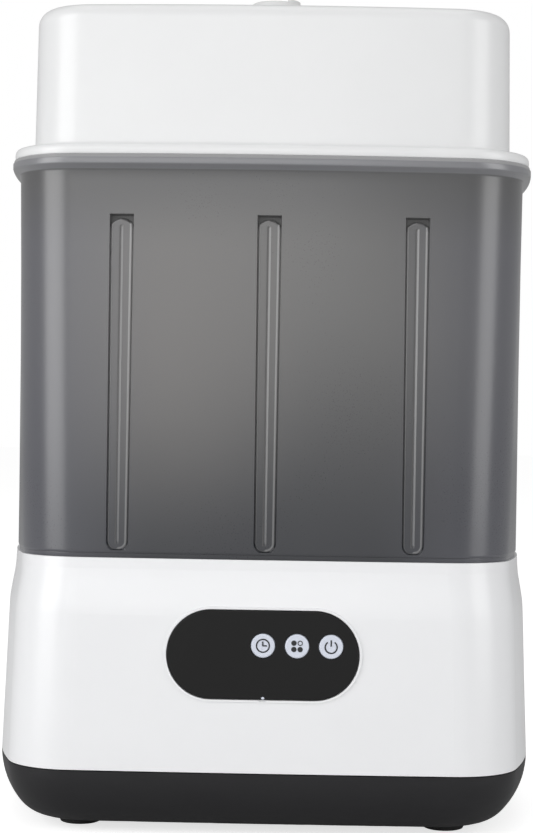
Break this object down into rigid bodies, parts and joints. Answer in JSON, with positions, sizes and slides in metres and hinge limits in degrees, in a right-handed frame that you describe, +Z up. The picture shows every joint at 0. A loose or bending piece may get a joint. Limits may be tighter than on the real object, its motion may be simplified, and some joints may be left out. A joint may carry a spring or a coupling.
{
  "type": "baby bottle sterilizer dryer",
  "caption": "Countertop steam sterilizer and dryer for baby bottles: a base with buttons and a heating plate, a smoke chamber, a rack, a tray and a lift-off lid.",
  "frame": {"origin": "on the worktop under the middle of the base", "axes": "+Z up from the feet to the lid, -Y out of the side with the buttons, +X to the right as seen from that side"},
  "size_m": [0.264, 0.212, 0.4075],
  "materials": {
    "white_plastic": "satin gloss",
    "white_matte": "fine matt",
    "black_plastic": "satin, fine grain",
    "knob_plastic": "satin",
    "smoke_plastic": "smoke tint, glossy",
    "black_lens": "high gloss",
    "button_grey": "satin silver grey",
    "soft_rubber": "matt",
    "seal_rubber": "matt silicone",
    "coated_plate": "dark non-stick coating on steel",
    "cast_element": "as cast",
    "zinc_steel": "zinc plated",
    "motor_steel": "drawn steel can",
    "thermostat_body": "dark phenolic",
    "circuit_board": "green solder mask",
    "display_black": "black",
    "switch_black": "black",
    "duct_plastic": "heat-proof grey",
    "heater_frame": "mica board",
    "heater_fins": "bare fins",
    "filter_foam": "open foam"
  },
  "bodies": {
    "base": {"base_housing": "white_plastic", "bottom_cover": "black_plastic", "feet": "soft_rubber", "housing_screws": "zinc_steel", "cord_gland": "soft_rubber", "heating_plate": "coated_plate", "plate_seal": "seal_rubber", "steam_element": "cast_element", "clamp_ring": "zinc_steel", "clamp_nuts": "zinc_steel", "thermostats": "thermostat_body", "control_panel": "black_lens", "control_board": "circuit_board", "key_switches": "switch_black", "display_module": "display_black", "board_screws": "zinc_steel", "power_board": "circuit_board", "power_components": "switch_black", "blower_housing": "duct_plastic", "blower_cover": "duct_plastic", "blower_motor": "motor_steel", "heater_frame": "heater_frame", "heater_core": "heater_fins", "air_duct": "duct_plastic", "outlet_cap": "white_plastic"},
    "sleeve": {"chamber_sleeve": "smoke_plastic"},
    "lid": {"lid": "white_plastic", "vent_knob": "knob_plastic", "vent_clip": "white_matte"},
    "tray": {"accessory_tray": "white_matte"},
    "rack": {"bottle_rack": "white_matte"},
    "filter": {"filter_cover": "white_plastic", "filter_pad": "filter_foam"},
    "fan": {"impeller": "duct_plastic", "motor_shaft": "zinc_steel"},
    "button_timer": {"button_timer": "button_grey"},
    "button_mode": {"button_mode": "button_grey"},
    "button_power": {"button_power": "button_grey"}
  },
  "joints": [
    {"name": "sleeve_lift", "type": "slide", "parent": "base", "child": "sleeve", "axis": [0, 0, 1], "range_m": [0, 0.19]},
    {"name": "lid_lift", "type": "slide", "parent": "sleeve", "child": "lid", "axis": [0, 0, 1], "range_m": [0, 0.08]},
    {"name": "tray_lift", "type": "slide", "parent": "sleeve", "child": "tray", "axis": [0, 0, 1], "range_m": [0, 0.015]},
    {"name": "rack_lift", "type": "slide", "parent": "base", "child": "rack", "axis": [0, 0, 1], "range_m": [0, 0.055]},
    {"name": "filter_slide", "type": "slide", "parent": "base", "child": "filter", "axis": [0, 1, 0], "range_m": [0, 0.03]},
    {"name": "fan_spin", "type": "hinge", "parent": "base", "child": "fan", "pos_m": [-0.026, 0.066, 0.052], "axis": [0, 1, 0], "continuous": true},
    {"name": "button_timer_press", "type": "slide", "parent": "base", "child": "button_timer", "axis": [0, 0.9993, -0.0384], "range_m": [0, 0.001], "stiffness_N_per_m": 400},
    {"name": "button_mode_press", "type": "slide", "parent": "base", "child": "button_mode", "axis": [0, 0.9993, -0.0384], "range_m": [0, 0.001], "stiffness_N_per_m": 400},
    {"name": "button_power_press", "type": "slide", "parent": "base", "child": "button_power", "axis": [0, 0.9993, -0.0384], "range_m": [0, 0.001], "stiffness_N_per_m": 400}
  ]
}
